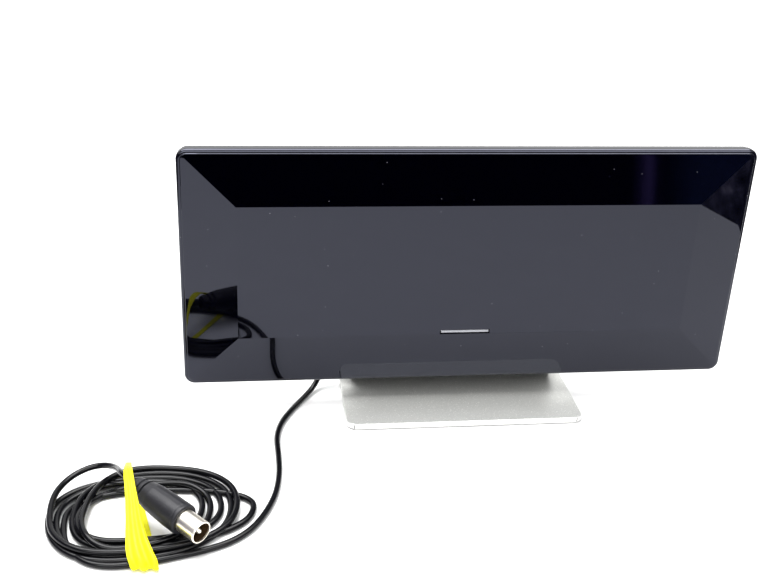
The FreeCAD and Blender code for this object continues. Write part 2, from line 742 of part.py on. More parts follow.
def panel_screws():
    cover = [screw(f"cover_screw_{i}", x, y, "-well_floor", "well_floor - 1", 1)
             for i, (x, y) in enumerate(COVER_SCREWS)]
    group("cover_screws", in_panel_frame, cover)
    board = [screw(f"board_screw_{i}", x, y, "-board_front - board_thick", "4.8", 1)
             for i, (x, y) in enumerate(BOARD_POSTS)]
    group("board_screws", in_panel_frame, board)
    thin, small = "screw_radius - 0.2", "screw_head_radius - 0.4"
    amp = [screw(f"amp_screw_{i}", x, y, "-amp_front", "4.6", -1, thin, small)
           for i, (x, y) in enumerate(AMP_POSTS)]
    group("amplifier_screws", in_panel_frame, amp)
    clamp = [screw(f"clamp_screw_{i}", x, y, "clamp_seat + 1.4", "3.6", -1, "0.9", "1.6")
             for i, (x, y) in enumerate(CLAMP_SCREWS)]
    group("clamp_screws", in_panel_frame, clamp)


# ---------------------------------------------------------------- hinge


def hinge():
    """Per side: a bush in the barrel, a washer, a pivot in the cheek; the left pivot is hollow."""
    for side, sign, toward in (("left", "-", 1), ("right", "", -1)):
        axis = Vector(toward, 0, 0)
        turned(f"barrel_bush_{side}", in_row_frame, [
            ("bush_bore", "0.2"), ("barrel_bore", "0.2"),
            ("barrel_bore", "bush_length"), ("bush_bore", "bush_length"),
        ], (f"{sign}barrel_half", "pivot_y", "pivot_z"), axis)
        turned(f"friction_washer_{side}", in_row_frame, [
            ("pivot_radius + 0.2", "0.1"), ("washer_radius", "0.1"),
            ("washer_radius", "0.1 + washer_thick"), ("pivot_radius + 0.2", "0.1 + washer_thick"),
        ], (f"{sign}cheek_inner", "pivot_y", "pivot_z"), axis)
        inner = "pivot_bore" if side == "left" else "0"
        turned(f"pivot_{side}", in_row_frame, [
            (inner, "0.4"), ("pivot_radius", "0.4"), ("pivot_radius", "pivot_length - 0.1"),
            ("pivot_radius - 0.5", "pivot_length + 0.4"), (inner, "pivot_length + 0.4"),
        ], (f"{sign}cheek_outer", "pivot_y", "pivot_z"), axis)
    turned("pivot_cap", in_row_frame, [
        ("0", "0.1"), ("pivot_radius - 0.4", "0.1"), ("pivot_radius - 0.4", "0"), ("cap_radius", "0"),
        ("cap_radius", "0.8"), ("cap_radius - 0.8", "1.5"), ("0", "1.7"),
    ], ("cheek_outer", "pivot_y", "pivot_z"), Vector(1, 0, 0))


# ---------------------------------------------------------------- stand

STAND_SCREWS = [(f"{i}stand_screw_x", "(bar_front + bar_rear) / 2 - 1") for i in ("-", "")]
STAND_SCREWS += [(f"{i}(cheek_inner + cheek_outer) / 2", "bar_front + 2") for i in ("-", "")]


def neck():
    """Two cheeks that hold the hinge, joined by a hollow bar behind the barrel."""
    body = new_body("neck", in_row_frame)
    cheek = sketch_on(body, "cheek_side", "-cheek_outer", "YZ_Plane")
    draw_polygon(cheek, [
        ("pivot_y", "plate_top"), ("bar_rear + 1.5", "plate_top"),
        ("bar_rear + 1.5", "plate_top + 2.5"), ("bar_rear - 3", "bar_top"),
        ("pivot_y + cheek_radius * 0.42", "pivot_z + cheek_radius * 0.9"), ("pivot_y", "pivot_z"),
    ])
    pad(body, cheek, "2 * cheek_outer")
    boss = sketch_on(body, "cheek_round", "-cheek_outer", "YZ_Plane")
    draw_circle(boss, "pivot_y", "pivot_z", "cheek_radius")
    pad(body, boss, "2 * cheek_outer")
    gap = sketch_on(body, "barrel_room", "-cheek_inner", "YZ_Plane")
    draw_rectangle(gap, "pivot_y - 20", "plate_top - 1", "bar_front", "pivot_z + 20")
    pocket(body, gap, "2 * cheek_inner")
    gap_top = sketch_on(body, "bar_level", "-cheek_inner", "YZ_Plane")
    draw_rectangle(gap_top, "bar_front - 1", "bar_top", "bar_rear + 3", "pivot_z + 20")
    pocket(body, gap_top, "2 * cheek_inner")
    hollow = sketch_on(body, "bar_hollow", "-cheek_inner + 1", "YZ_Plane")
    draw_rectangle(hollow, "bar_front + wall", "plate_top - 1", "bar_rear - 3.5", "bar_top - wall")
    pocket(body, hollow, "2 * cheek_inner - 2")
    bosses = sketch_on(body, "stand_bosses", "plate_top")
    for x, y in STAND_SCREWS[:2]:
        draw_circle(bosses, x, y, "stand_boss_radius")
    pad(body, bosses, "bar_top - plate_top - 0.4")
    holes = sketch_on(body, "pivot_bores", "-cheek_outer - 1", "YZ_Plane")
    draw_circle(holes, "pivot_y", "pivot_z", "pivot_radius")
    pocket(body, holes, "2 * cheek_outer + 2")
    drill(body, "stand_pilots", STAND_SCREWS, "screw_radius + 0.3", "plate_top", "7")
    return body


def stand_skin():
    """Pressed metal cover: flat top, rounded corners, lips folded down with open corners."""
    body = new_body("stand_skin", in_row_frame)
    top = sketch_on(body, "skin_top", "plate_top - skin")
    draw_inset(top, "0", "plate_width", "plate_depth")
    pad(body, top, "skin")
    half_x, half_y = value("plate_width / 2"), value("plate_depth / 2")
    round_edges(body, "skin_corners", "plate_corner", lambda e: corner_edge(e, half_x, half_y))
    crown = value("plate_top")
    round_edges(body, "skin_edge", "0.35", lambda e: at_height(e, crown))
    lips = sketch_on(body, "skin_lips", "lip_low")
    long_x, long_y = "plate_width / 2 - 3.4", "plate_depth / 2 - plate_corner"
    edge_x, edge_y = "plate_width / 2", "plate_depth / 2"
    draw_rectangle(lips, f"-({long_x})", f"-({edge_y}) + 0.05", long_x, f"-({edge_y}) + 0.85")
    draw_rectangle(lips, f"-({long_x})", f"{edge_y} - 0.85", long_x, f"{edge_y} - 0.05")
    draw_rectangle(lips, f"-({edge_x}) + 0.05", f"-({long_y})", f"-({edge_x}) + 0.85", long_y)
    draw_rectangle(lips, f"{edge_x} - 0.85", f"-({long_y})", f"{edge_x} - 0.05", long_y)
    pad(body, lips, "plate_top - skin - lip_low + 0.3")
    drill(body, "skin_holes", STAND_SCREWS, "screw_radius + 0.4", "0", "6")
    return body


def ballast_plate():
    body = new_body("ballast_plate", in_row_frame)
    outline = sketch_on(body, "ballast_outline", "ballast_low")
    draw_inset(outline, "1.1", "plate_width", "plate_depth")
    pad(body, outline, "plate_top - skin - ballast_low")
    half_x, half_y = value("plate_width / 2 - 1.1"), value("plate_depth / 2 - 1.1")
    round_edges(body, "ballast_corners", "plate_corner", lambda e: corner_edge(e, half_x, half_y))
    drill(body, "ballast_holes", STAND_SCREWS, "screw_radius + 0.4", "0", "6")
    drill(body, "ballast_seats", STAND_SCREWS, "stand_screw_head + 0.1", "0", "1.5")
    return body


def stand_fasteners():
    screws = []
    for i, (x, y) in enumerate(STAND_SCREWS):
        stem = cylinder(f"stand_screw_{i}_shank", "screw_radius + 0.25", "1.5", "7.5", x, y)
        head = cylinder(f"stand_screw_{i}_head", "stand_screw_head", "0.7", "0.8", x, y)
        whole = doc.addObject("Part::MultiFuse", f"stand_screw_{i}")
        whole.Shapes = [stem, head]
        screws.append(whole)
    group("stand_screws", in_row_frame, screws)


def feet():
    for side, x in (("left", -1), ("right", 1)):
        for end, y in (("front", -1), ("rear", 1)):
            foot = cylinder(f"foot_{end}_{side}_disc", "foot_radius", "0", "ballast_low",
                            f"{x} * (plate_width / 2 - 10)", f"{y} * (plate_depth / 2 - 9)")
            edge = doc.addObject("Part::Chamfer", f"foot_{end}_{side}")
            edge.Base = foot
            doc.recompute()
            rims = [len(e.Vertexes) == 1 and at_height(e, 0) for e in foot.Shape.Edges]
            edge.Edges = [(i, 0.25, 0.25) for i, low in enumerate(rims, start=1) if low]
            keep(edge, f"foot_{end}_{side}", where_made)


# ---------------------------------------------------------------- lead, coil and plug

# Centres of the lead's corners, from the hinge to where it joins the coil's near side.
LEAD_ROUTE = [
    (-52, 8.5, 12), (-66, 8.5, 12), (-71, 3, 3), (-77, -6, 1.5), (-83.5, -17, 1.4), (-89, -28, 1.4),
    (-92, -41, 1.4), (-91.5, -56, 1.4), (-91.5, -71, 1.4), (-93.5, -86, 1.4), (-98, -99, 1.4),
    (-104, -110, 1.4), (-112, -117.5, 1.4),
]

# Centres of the lead's corners from the top of the coil's rear turns to behind the plug;
# the last two, on the plug's own axis, follow from where the plug lies.
PLUG_ROUTE = [(-184.5, -87, 5.8), (-181, -75.5, 6.6), (-170.5, -69.5, 8), (-161, -77, 12)]


def lead_relief():
    """Tapered ribbed sleeve on the left cheek, round the lead where it leaves the hinge."""
    ribs = []
    for i in range(3):
        start, wide = 2 + 2 * i, 3.0 - 0.35 * i
        ribs += [(wide, start), (wide, start + 1.2), (wide - 0.6, start + 1.2), (wide - 0.6, start + 2)]
    profile = [("lead_radius + 0.05", "0"), ("relief_collar", "0"), ("relief_collar", "1")]
    profile += [("3.4", "1.5"), ("3.2", "2")]
    profile += [(str(round(r, 3)), str(round(z, 3))) for r, z in ribs]
    profile += [("lead_radius + 0.05", "relief_length")]
    place = ("-cheek_outer", "pivot_y", "pivot_z")
    turned("lead_relief", in_row_frame, profile, place, Vector(-1, 0, 0))


def lead_coil():
    """The space that the coiled turns fill: a flat oval ring."""
    body = new_body("lead_coil", where_made)
    body.Placement = Placement(Vector(), Rotation(Vector(0, 0, 1), value("coil_turn")))
    for axis, text in (("x", "coil_x"), ("y", "coil_y")):
        body.setExpression(f"Placement.Base.{axis}", bound(text))
    for name, inset in (("coil_outer", "0"), ("coil_inner", "2 * coil_bundle")):
        sketch = sketch_on(body, name, "1")
        long_half, short_half = value(f"coil_half_long - {inset}"), value(f"coil_half_short - {inset}")
        index = sketch.addGeometry(Part.Ellipse(Vector(), long_half, short_half))
        sketch.addConstraint(Sketcher.Constraint("Block", index))
        if name == "coil_outer":
            pad(body, sketch, "coil_height - 1")
        else:
            pocket(body, sketch, "coil_height")
    return body


def tie_band():
    """Flat rubber band round both sides of the coil, drawn over the plug's tail and under the turns."""
    body = new_body("tie_band", where_made)
    turn = Rotation(Vector(0, 0, 1), value("band_turn"))
    body.Placement = Placement(Vector(value("band_x"), value("coil_y"), 0), turn)
    edge, inner_edge = "coil_half_short + 1 + band_thick", "coil_half_short + 1"
    loop = sketch_on(body, "band_loop", "-band_left", "YZ_Plane")
    draw_polygon(loop, [
        (f"-({edge})", "0.05"), (edge, "0.05"), (edge, "coil_height + 0.9"), ("band_flat", "band_peak"),
        ("-band_flat", "band_peak"), (f"-({edge})", "coil_height + 0.9"),
    ])
    pad(body, loop, "band_width")
    room = sketch_on(body, "band_room", "-band_left - 1", "YZ_Plane")
    draw_polygon(room, [
        (f"-({inner_edge})", "0.05 + band_thick"), (inner_edge, "0.05 + band_thick"),
        (inner_edge, "coil_height + 0.1"), ("band_flat", "band_peak - band_thick"),
        ("-band_flat", "band_peak - band_thick"), (f"-({inner_edge})", "coil_height + 0.1"),
    ])
    pocket(body, room, "band_width + 2")
    return body


def plug():
    """Coaxial plug: moulded body, nickel shell, insulator and centre pin on one axis."""
    turned("plug_body", in_plug_frame, [
        ("lead_radius + 0.05", "-plug_length"), ("3.4", "-plug_length"), ("4.5", "3 - plug_length"),
        ("5.2", "7 - plug_length"), ("5.9", "11 - plug_length"), ("6.4", "21 - plug_length"), ("6.5", "-1"),
        ("6.1", "-0.2"), ("shell_tail_radius + 0.05", "-0.2"), ("shell_tail_radius + 0.05", "-plug_buried"),
        ("lead_radius + 0.05", "-plug_buried"),
    ])
    root = "0.1 - plug_buried"
    turned("plug_shell", in_plug_frame, [
        ("shell_tail_bore", root), ("shell_tail_radius", root),
        ("shell_tail_radius", "0"), ("shell_radius", "0"),
        ("shell_radius", "shell_length - 0.4"), ("shell_radius - 0.15", "shell_length"),
        ("shell_bore", "shell_length"), ("shell_bore", "0.6"), ("shell_tail_bore", "0.6"),
    ])
    turned("plug_insulator", in_plug_frame, [
        ("pin_radius + 0.05", root), ("shell_tail_bore - 0.05", root),
        ("shell_tail_bore - 0.05", "0.5"), ("pin_radius + 0.05", "0.5"),
    ])
    turned("plug_pin", in_plug_frame, [
        ("0", root), ("pin_radius", root), ("pin_radius", "pin_length - 0.9"),
        ("pin_radius - 0.5", "pin_length"), ("0", "pin_length"),
    ])


# ---------------------------------------------------------------- build, check and write

front_cover()
rear_cover()
light_guide()
antenna_board()
elements()
feed_pins()
amplifier()
inner_lead()
lead_clamp()
panel_screws()
hinge()
neck()
stand_skin()
ballast_plate()
stand_fasteners()
feet()
lead_relief()
tube("lead_run", in_row_frame, LEAD_ROUTE, value("lead_radius"))
lead_coil()
behind_plug = [plug_axis_point("-plug_length - 9"), plug_axis_point("-plug_length")]
tube("lead_end", in_row_frame, PLUG_ROUTE + behind_plug, value("lead_radius"))
tie_band()
plug()

doc.recompute()
for thing in doc.Objects:
    if "Invalid" in thing.State or "Error" in thing.State:
        raise RuntimeError(f"{thing.Label} failed: {thing.State}")
for thing in parts:
    if thing.Shape.isNull() or not thing.Shape.isValid() or not thing.Shape.Solids:
        raise RuntimeError(f"{thing.Label} has no valid solid")

os.makedirs("parts", exist_ok=True)
for old in os.listdir("parts"):
    os.remove(os.path.join("parts", old))
for thing in parts:
    thing.Shape.exportStep(os.path.join("parts", thing.Label + ".step"))
print(len(parts), "sub-parts")
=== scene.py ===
"""Looks of the flat indoor television antenna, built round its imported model.

Lengths are metres in the row frame: +X right, +Y back, +Z up, origin on the table under the stand.
"""

import math

import bmesh
import bpy
from mathutils import Matrix, Vector, noise


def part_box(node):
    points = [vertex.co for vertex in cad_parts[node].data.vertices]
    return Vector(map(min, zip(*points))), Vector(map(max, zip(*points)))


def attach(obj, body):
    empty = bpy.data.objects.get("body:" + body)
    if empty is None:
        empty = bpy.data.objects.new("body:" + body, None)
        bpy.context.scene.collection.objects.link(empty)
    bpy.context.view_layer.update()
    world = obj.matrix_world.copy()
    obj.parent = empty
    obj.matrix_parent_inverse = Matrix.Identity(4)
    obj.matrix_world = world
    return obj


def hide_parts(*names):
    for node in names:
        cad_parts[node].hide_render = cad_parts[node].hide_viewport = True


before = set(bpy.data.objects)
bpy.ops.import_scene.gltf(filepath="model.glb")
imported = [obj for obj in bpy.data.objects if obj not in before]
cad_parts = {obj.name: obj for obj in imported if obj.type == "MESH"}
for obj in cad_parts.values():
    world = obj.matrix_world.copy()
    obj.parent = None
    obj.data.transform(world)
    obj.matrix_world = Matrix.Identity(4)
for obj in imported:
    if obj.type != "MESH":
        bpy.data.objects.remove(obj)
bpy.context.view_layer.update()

MM = 0.001

# ---------------------------------------------------------------- camera

CAMERA_PLACE = Vector((-105.7, -471.0, 277.0)) * MM
CAMERA_YAW, CAMERA_PITCH, CAMERA_ROLL = (math.radians(a) for a in (-8.14, -24.74, 2.51))
CAMERA_LENS = 50.43


def make_camera():
    camera = bpy.data.objects.new("camera", bpy.data.cameras.new("camera"))
    bpy.context.scene.collection.objects.link(camera)
    turn = Matrix.Rotation(CAMERA_YAW, 4, "Z") @ Matrix.Rotation(math.radians(90) + CAMERA_PITCH, 4, "X")
    camera.matrix_world = Matrix.Translation(CAMERA_PLACE) @ turn @ Matrix.Rotation(CAMERA_ROLL, 4, "Z")
    camera.data.sensor_width = 36.0
    camera.data.lens = CAMERA_LENS
    bpy.context.scene.camera = camera


# ---------------------------------------------------------------- materials

WEAR_SCALE = 28.0
SMEAR_SCALE, WAVE_SCALE = 22.0, 9.0
DUST_SCALE, DUST_SIZE = 75.0, (0.006, 0.014)
FLAKE_SCALE = 2600.0


def shader_of(name):
    """A new material's node tree, its main shader and the surface's own coordinates."""
    material = bpy.data.materials.new(name)
    material.use_nodes = True
    tree = material.node_tree
    place = tree.nodes.new("ShaderNodeTexCoord").outputs["Object"]
    return material, tree, tree.nodes["Principled BSDF"], place


def noise_of(tree, place, scale, detail=4.0, stretch=None):
    if stretch is not None:
        mapping = tree.nodes.new("ShaderNodeMapping")
        mapping.inputs["Scale"].default_value = stretch
        tree.links.new(place, mapping.inputs["Vector"])
        place = mapping.outputs["Vector"]
    node = tree.nodes.new("ShaderNodeTexNoise")
    node.inputs["Scale"].default_value = scale
    node.inputs["Detail"].default_value = detail
    tree.links.new(place, node.inputs["Vector"])
    return node.outputs["Fac"]


def ramp_of(tree, factor, stops):
    ramp = tree.nodes.new("ShaderNodeValToRGB")
    ramp.color_ramp.elements[0].position = stops[0][0]
    ramp.color_ramp.elements[1].position = stops[-1][0]
    for position, _ in stops[1:-1]:
        ramp.color_ramp.elements.new(position)
    for element, (_, colour) in zip(ramp.color_ramp.elements, stops):
        element.color = (*colour, 1.0)
    tree.links.new(factor, ramp.inputs["Fac"])
    return ramp.outputs["Color"]


def range_of(tree, factor, low, high, start=0.3, end=0.7):
    node = tree.nodes.new("ShaderNodeMapRange")
    node.inputs["From Min"].default_value = start
    node.inputs["From Max"].default_value = end
    node.inputs["To Min"].default_value = low
    node.inputs["To Max"].default_value = high
    tree.links.new(factor, node.inputs["Value"])
    return node.outputs["Result"]


def bump_of(tree, height, shader, distance):
    node = tree.nodes.new("ShaderNodeBump")
    node.inputs["Strength"].default_value = 1.0
    node.inputs["Distance"].default_value = distance
    tree.links.new(height, node.inputs["Height"])
    tree.links.new(node.outputs["Normal"], shader.inputs["Normal"])


def grained(name, colour, roughness, metallic=0.0, grain=900.0, spread=0.2, relief=0.00002,
            stretch=None, **sockets):
    """Colour and relief that vary with a fine grain, and roughness with a broad wear pattern.

    spread is how far the colour strays either way, and relief the grain's depth in metres.
    """
    material, tree, shader, place = shader_of(name)
    fine = noise_of(tree, place, grain, stretch=stretch)
    wear = noise_of(tree, place, WEAR_SCALE, 3.0)
    dark = [c * (1 - spread) for c in colour]
    light = [min(1.0, c * (1 + spread)) for c in colour]
    tree.links.new(ramp_of(tree, fine, [(0.3, dark), (0.7, light)]), shader.inputs["Base Color"])
    worn = range_of(tree, wear, roughness * 0.85, min(1.0, roughness * 1.2))
    tree.links.new(worn, shader.inputs["Roughness"])
    bump_of(tree, fine, shader, relief)
    shader.inputs["Metallic"].default_value = metallic
    for socket, amount in sockets.items():
        shader.inputs[socket.replace("_", " ")].default_value = amount
    return material


def gloss_shell():
    """Piano-black moulding: mirror gloss with faint smears and a little dust."""
    material, tree, shader, place = shader_of("gloss_shell")
    smear = noise_of(tree, place, SMEAR_SCALE, 5.0)
    tree.links.new(range_of(tree, smear, 0.012, 0.04), shader.inputs["Roughness"])
    upright = tree.nodes.new("ShaderNodeMapping")
    upright.inputs["Rotation"].default_value = (math.radians(-90), 0, 0)
    tree.links.new(place, upright.inputs["Vector"])
    dots = tree.nodes.new("ShaderNodeTexVoronoi")
    dots.voronoi_dimensions = "2D"
    dots.inputs["Scale"].default_value = DUST_SCALE
    tree.links.new(upright.outputs["Vector"], dots.inputs["Vector"])
    spot = range_of(tree, dots.outputs["Distance"], 1.0, 0.0, *DUST_SIZE)
    chance = tree.nodes.new("ShaderNodeSeparateColor")
    tree.links.new(dots.outputs["Color"], chance.inputs["Color"])
    few = range_of(tree, chance.outputs["Red"], 0.0, 1.0, 0.7, 0.95)
    dust = tree.nodes.new("ShaderNodeMath")
    dust.operation = "MULTIPLY"
    tree.links.new(spot, dust.inputs[0])
    tree.links.new(few, dust.inputs[1])
    black, speck = (0.0001, 0.0001, 0.0009), (0.32, 0.32, 0.36)
    dusty = ramp_of(tree, dust.outputs["Value"], [(0.0, black), (1.0, speck)])
    tree.links.new(dusty, shader.inputs["Base Color"])
    bump_of(tree, noise_of(tree, place, WAVE_SCALE, 2.0), shader, 0.00004)
    shader.inputs["Specular IOR Level"].default_value = 0.47
    shader.inputs["Specular Tint"].default_value = (0.76, 0.79, 1.0, 1.0)
    return material


def silver_skin():
    """Satin silver metallic finish with a fine sparkling flake."""
    material, tree, shader, place = shader_of("silver_skin")
    flake = tree.nodes.new("ShaderNodeTexVoronoi")
    flake.inputs["Scale"].default_value = FLAKE_SCALE
    tree.links.new(place, flake.inputs["Vector"])
    value = tree.nodes.new("ShaderNodeSeparateColor")
    tree.links.new(flake.outputs["Color"], value.inputs["Color"])
    base = ramp_of(tree, value.outputs["Green"], [
        (0.0, (0.58, 0.585, 0.56)), (0.94, (0.65, 0.655, 0.63)), (1.0, (0.86, 0.86, 0.83)),
    ])
    tree.links.new(base, shader.inputs["Base Color"])
    tree.links.new(range_of(tree, noise_of(tree, place, 700.0), 0.3, 0.4), shader.inputs["Roughness"])
    bump_of(tree, value.outputs["Red"], shader, 0.000006)
    shader.inputs["Metallic"].default_value = 0.45
    return material


def clear_guide():
    """Pale diffusing window of the indicator."""
    material, tree, shader, place = shader_of("clear_guide")
    grain = noise_of(tree, place, 300.0)
    base = ramp_of(tree, grain, [(0.3, (0.26, 0.265, 0.29)), (0.7, (0.34, 0.345, 0.37))])
    tree.links.new(base, shader.inputs["Base Color"])
    tree.links.new(range_of(tree, grain, 0.18, 0.3), shader.inputs["Roughness"])
    bump_of(tree, grain, shader, 0.00001)
    shader.inputs["Metallic"].default_value = 0.5
    return material


def band_rubber():
    """Fluorescent yellow band with ribs along its length, brightened by a faint painted glow from
    emission.
    """
    material, tree, shader, place = shader_of("band_rubber")
    grain = noise_of(tree, place, 260.0, 3.0, stretch=(6.0, 1.0, 1.0))
    base = ramp_of(tree, grain, [(0.3, (0.72, 0.66, 0.005)), (0.7, (0.86, 0.84, 0.012))])
    tree.links.new(base, shader.inputs["Base Color"])
    tree.links.new(range_of(tree, grain, 0.42, 0.6), shader.inputs["Roughness"])
    bump_of(tree, grain, shader, 0.00012)
    # painted glow: a faint yellow emission, though the band is no lamp
    shader.inputs["Emission Color"].default_value = (0.9, 0.86, 0.0, 1.0)
    shader.inputs["Emission Strength"].default_value = 0.12
    shader.inputs["Specular IOR Level"].default_value = 0.15
    return material


OWN_FINISHES = {
    "gloss_shell": gloss_shell,
    "silver_skin": silver_skin,
    "clear_guide": clear_guide,
    "band_rubber": band_rubber,
}
GRAINED_FINISHES = {
    "matt_shell": dict(colour=(0.016, 0.016, 0.018), roughness=0.46, grain=1600, relief=0.00003),
    "circuit_board": dict(colour=(0.02, 0.11, 0.05), roughness=0.4, grain=500),
    "copper_foil": dict(colour=(0.72, 0.36, 0.2), roughness=0.32, metallic=0.95, grain=300),
    "brass_pin": dict(colour=(0.72, 0.52, 0.22), roughness=0.28, metallic=0.95),
    "tinned_steel": dict(colour=(0.6, 0.6, 0.6), roughness=0.35, metallic=0.95, grain=400),
    "chip_resin": dict(colour=(0.02, 0.02, 0.02), roughness=0.6),
    "ferrite": dict(colour=(0.05, 0.045, 0.045), roughness=0.7),
    "lamp_lens": dict(colour=(0.5, 0.52, 0.5), roughness=0.2),
    "lead_sheath": dict(
        colour=(0.003, 0.003, 0.004), roughness=0.17, grain=1200, relief=0.000006,
        Specular_IOR_Level=0.2),
    "black_screw": dict(colour=(0.035, 0.035, 0.035), roughness=0.35, metallic=0.7),
    "zinc_screw": dict(colour=(0.6, 0.6, 0.58), roughness=0.3, metallic=0.95),
    "bush_nylon": dict(colour=(0.72, 0.7, 0.62), roughness=0.5),
    "pivot_steel": dict(
        colour=(0.5, 0.5, 0.51), roughness=0.28, metallic=0.95, grain=700, stretch=(1, 12, 12)),
    "ballast_steel": dict(colour=(0.32, 0.32, 0.32), roughness=0.45, metallic=0.9, grain=300),
    "bright_silver": dict(
        colour=(0.88, 0.88, 0.86), roughness=0.3, metallic=0.4, grain=900, spread=0.05),
    "foot_rubber": dict(colour=(0.02, 0.02, 0.02), roughness=0.85),
    "plug_moulding": dict(
        colour=(0.009, 0.009, 0.012), roughness=0.5, grain=1500, relief=0.00004,
        Specular_IOR_Level=0.24),
    "plug_nickel": dict(
        colour=(0.93, 0.88, 0.77), roughness=0.34, metallic=1.0, grain=500, spread=0.06,
        relief=0.000006, stretch=(1, 1, 6)),
    "plug_insulator": dict(colour=(0.045, 0.025, 0.01), roughness=0.6, Specular_IOR_Level=0.1),
}
finishes = {}


def finish_of(slot):
    """The slot's material, made when it is first asked for."""
    if slot not in finishes:
        own = OWN_FINISHES.get(slot)
        finishes[slot] = own() if own else grained(slot, **GRAINED_FINISHES[slot])
    return finishes[slot]


def dress_nodes():
    """Each CAD node takes the procedural finish of its own material slot."""
    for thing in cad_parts.values():
        for place in thing.material_slots:
            place.material = finish_of(place.material.name.split(".")[0])


def new_piece(name, data, slot, body="stand"):
    thing = bpy.data.objects.new(name, data)
    bpy.context.scene.collection.objects.link(thing)
    data.materials.append(finish_of(slot))
    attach(thing, body)
    return thing


def faces_between(first, count):
    """Faces from the ring of count corners that starts at number first to the ring after it."""
    faces = []
    for k in range(count):
        n = (k + 1) % count
        faces.append((first + k, first + n, first + count + n, first + count + k))
    return faces


def mesh_piece(name, corners, faces, slot, body="stand", smooth=True):
    mesh = bpy.data.meshes.new(name)
    mesh.from_pydata([tuple(c) for c in corners], [], faces)
    mesh.validate()
    mesh.update()
    for face in mesh.polygons:
        face.use_smooth = smooth
    return new_piece(name, mesh, slot, body)


# ---------------------------------------------------------------- lead

LEAD_DIAMETER = 2.7 * MM

# the route from the hinge to the coil, in millimetres, as in the part
LEAD_ROUTE = [
    (-52, 8.5, 12), (-66, 8.5, 12), (-71, 3, 3), (-77, -6, 1.5), (-83.5, -17, 1.4), (-89, -28, 1.4),
    (-92, -41, 1.4), (-91.5, -56, 1.4), (-91.5, -71, 1.4), (-93.5, -86, 1.4), (-98, -99, 1.4),
    (-104, -110, 1.4), (-112, -117.5, 1.4),
]
# the lead joins the near side of the coil
LEAD_JOINS = [(-122, -122, 1.4), (-133, -125, 1.4), (-145, -128, 1.4)]
# the topmost turn rises from the coil's left end into the plug
PLUG_ROUTE = [
    (-186.5, -88, 5.5), (-182, -76, 6), (-174, -69.5, 7), (-166.5, -70, 8.5), (-160.5, -77, 11.5),
]

# Y where each turn is nearest, X where it is furthest left, Y where it is furthest back and X where
# it is furthest right; the last turn ends at the left
COIL_TURNS = [
    (-129.5, -180.5, -80.5, -102.8),
    (-118.5, -177, -67.5, -112.3),
    (-126.5, -187.3, -71, -116.5),
    (-116.5, -175, -77, -121),
    (-123.5, -183.8, -74, -124.5),
    (-121, -172.8, -65, -109.8),
    (-124.5, -186.8, None, None),
]
NEAR_X, FAR_X = -157, -147  # X where the turns are nearest and furthest back
LEFT_Y, RIGHT_Y = -101, -94.5  # Y where they are furthest left and right
LEFT_REACH, LEFT_SLANT = -173, 0.45  # turns that reach further left lie further back there
STEPS = 5  # points in each quarter of a turn
FULLNESS = 0.9  # under 1 squares a turn's shoulders
NEIGHBOURS = 6  # points this close along the lead never lie under each other

PLUG_ROOT = Vector((-130.6, -118.0, 13.1)) * MM
PLUG_HEADING, PLUG_DIP = math.radians(44), math.radians(6)
PLUG_LENGTH = 29 * MM
PLUG_LEAD_STRAIGHT = 9 * MM  # how far behind the plug the lead already points into it
PLUG_NOSE = Vector((
    math.sin(PLUG_HEADING) * math.cos(PLUG_DIP),
    -math.cos(PLUG_HEADING) * math.cos(PLUG_DIP),
    -math.sin(PLUG_DIP),
))


def coil_turns():
    """Plan of the coil in millimetres: four quarter ovals a turn."""
    plan = []
    for turn, (near, left, far, right) in enumerate(COIL_TURNS):
        left_y = LEFT_Y + LEFT_SLANT * (LEFT_REACH - left)
        quarters = [((NEAR_X, near), (left, left_y), False)]
        if far is not None:
            quarters.append(((FAR_X, far), (left, left_y), True))
            quarters.append(((FAR_X, far), (right, RIGHT_Y), False))
            quarters.append(((NEAR_X, COIL_TURNS[turn + 1][0]), (right, RIGHT_Y), True))
        for flat, side, towards_flat in quarters:
            for step in range(STEPS):
                angle = step / STEPS * math.pi / 2
                if towards_flat:
                    angle = math.pi / 2 - angle
                x = flat[0] + (side[0] - flat[0]) * math.sin(angle) ** FULLNESS
                y = side[1] + (flat[1] - side[1]) * math.cos(angle) ** FULLNESS
                plan.append((x, y))
    return plan


def laid_heights(plan, thick, floor):
    """Heights at which each point lies on the floor or on the earlier turns, bending gently."""
    heights = []
    for index, (x, y) in enumerate(plan):
        height = floor
        for under in range(max(0, index - NEIGHBOURS)):
            apart = math.hypot(x - plan[under][0], y - plan[under][1])
            if apart < thick:
                height = max(height, heights[under] + math.sqrt(thick ** 2 - apart ** 2))
        heights.append(height)
    top = [max(heights[max(0, i - 1):i + 2]) for i in range(len(heights))]
    return [sum(top[max(0, i - 1):i + 2]) / len(top[max(0, i - 1):i + 2]) for i in range(len(top))]


def lead_points():
    plan = coil_turns()
    heights = laid_heights(plan, LEAD_DIAMETER / MM, LEAD_ROUTE[-1][2])
    coil = [(x, y, z) for (x, y), z in zip(plan, heights)]
    points = [Vector(p) * MM for p in LEAD_ROUTE + LEAD_JOINS + coil + PLUG_ROUTE]
    points.append(PLUG_ROOT - PLUG_NOSE * (PLUG_LENGTH + PLUG_LEAD_STRAIGHT))
    points.append(PLUG_ROOT - PLUG_NOSE * PLUG_LENGTH)
    return points


def make_lead():
    curve = bpy.data.curves.new("lead", "CURVE")
    curve.dimensions = "3D"
    spline = curve.splines.new("NURBS")
    points = lead_points()
    spline.points.add(len(points) - 1)
    for knot, place in zip(spline.points, points):
        knot.co = (*place, 1.0)
    spline.order_u = 3
    spline.use_endpoint_u = True
    spline.resolution_u = 6
    curve.bevel_depth = LEAD_DIAMETER / 2
    curve.bevel_resolution = 5
    curve.use_fill_caps = True
    lead = new_piece("lead", curve, "lead_sheath")
    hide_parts("lead_run", "lead_coil", "lead_end")
    return lead


# ---------------------------------------------------------------- plug

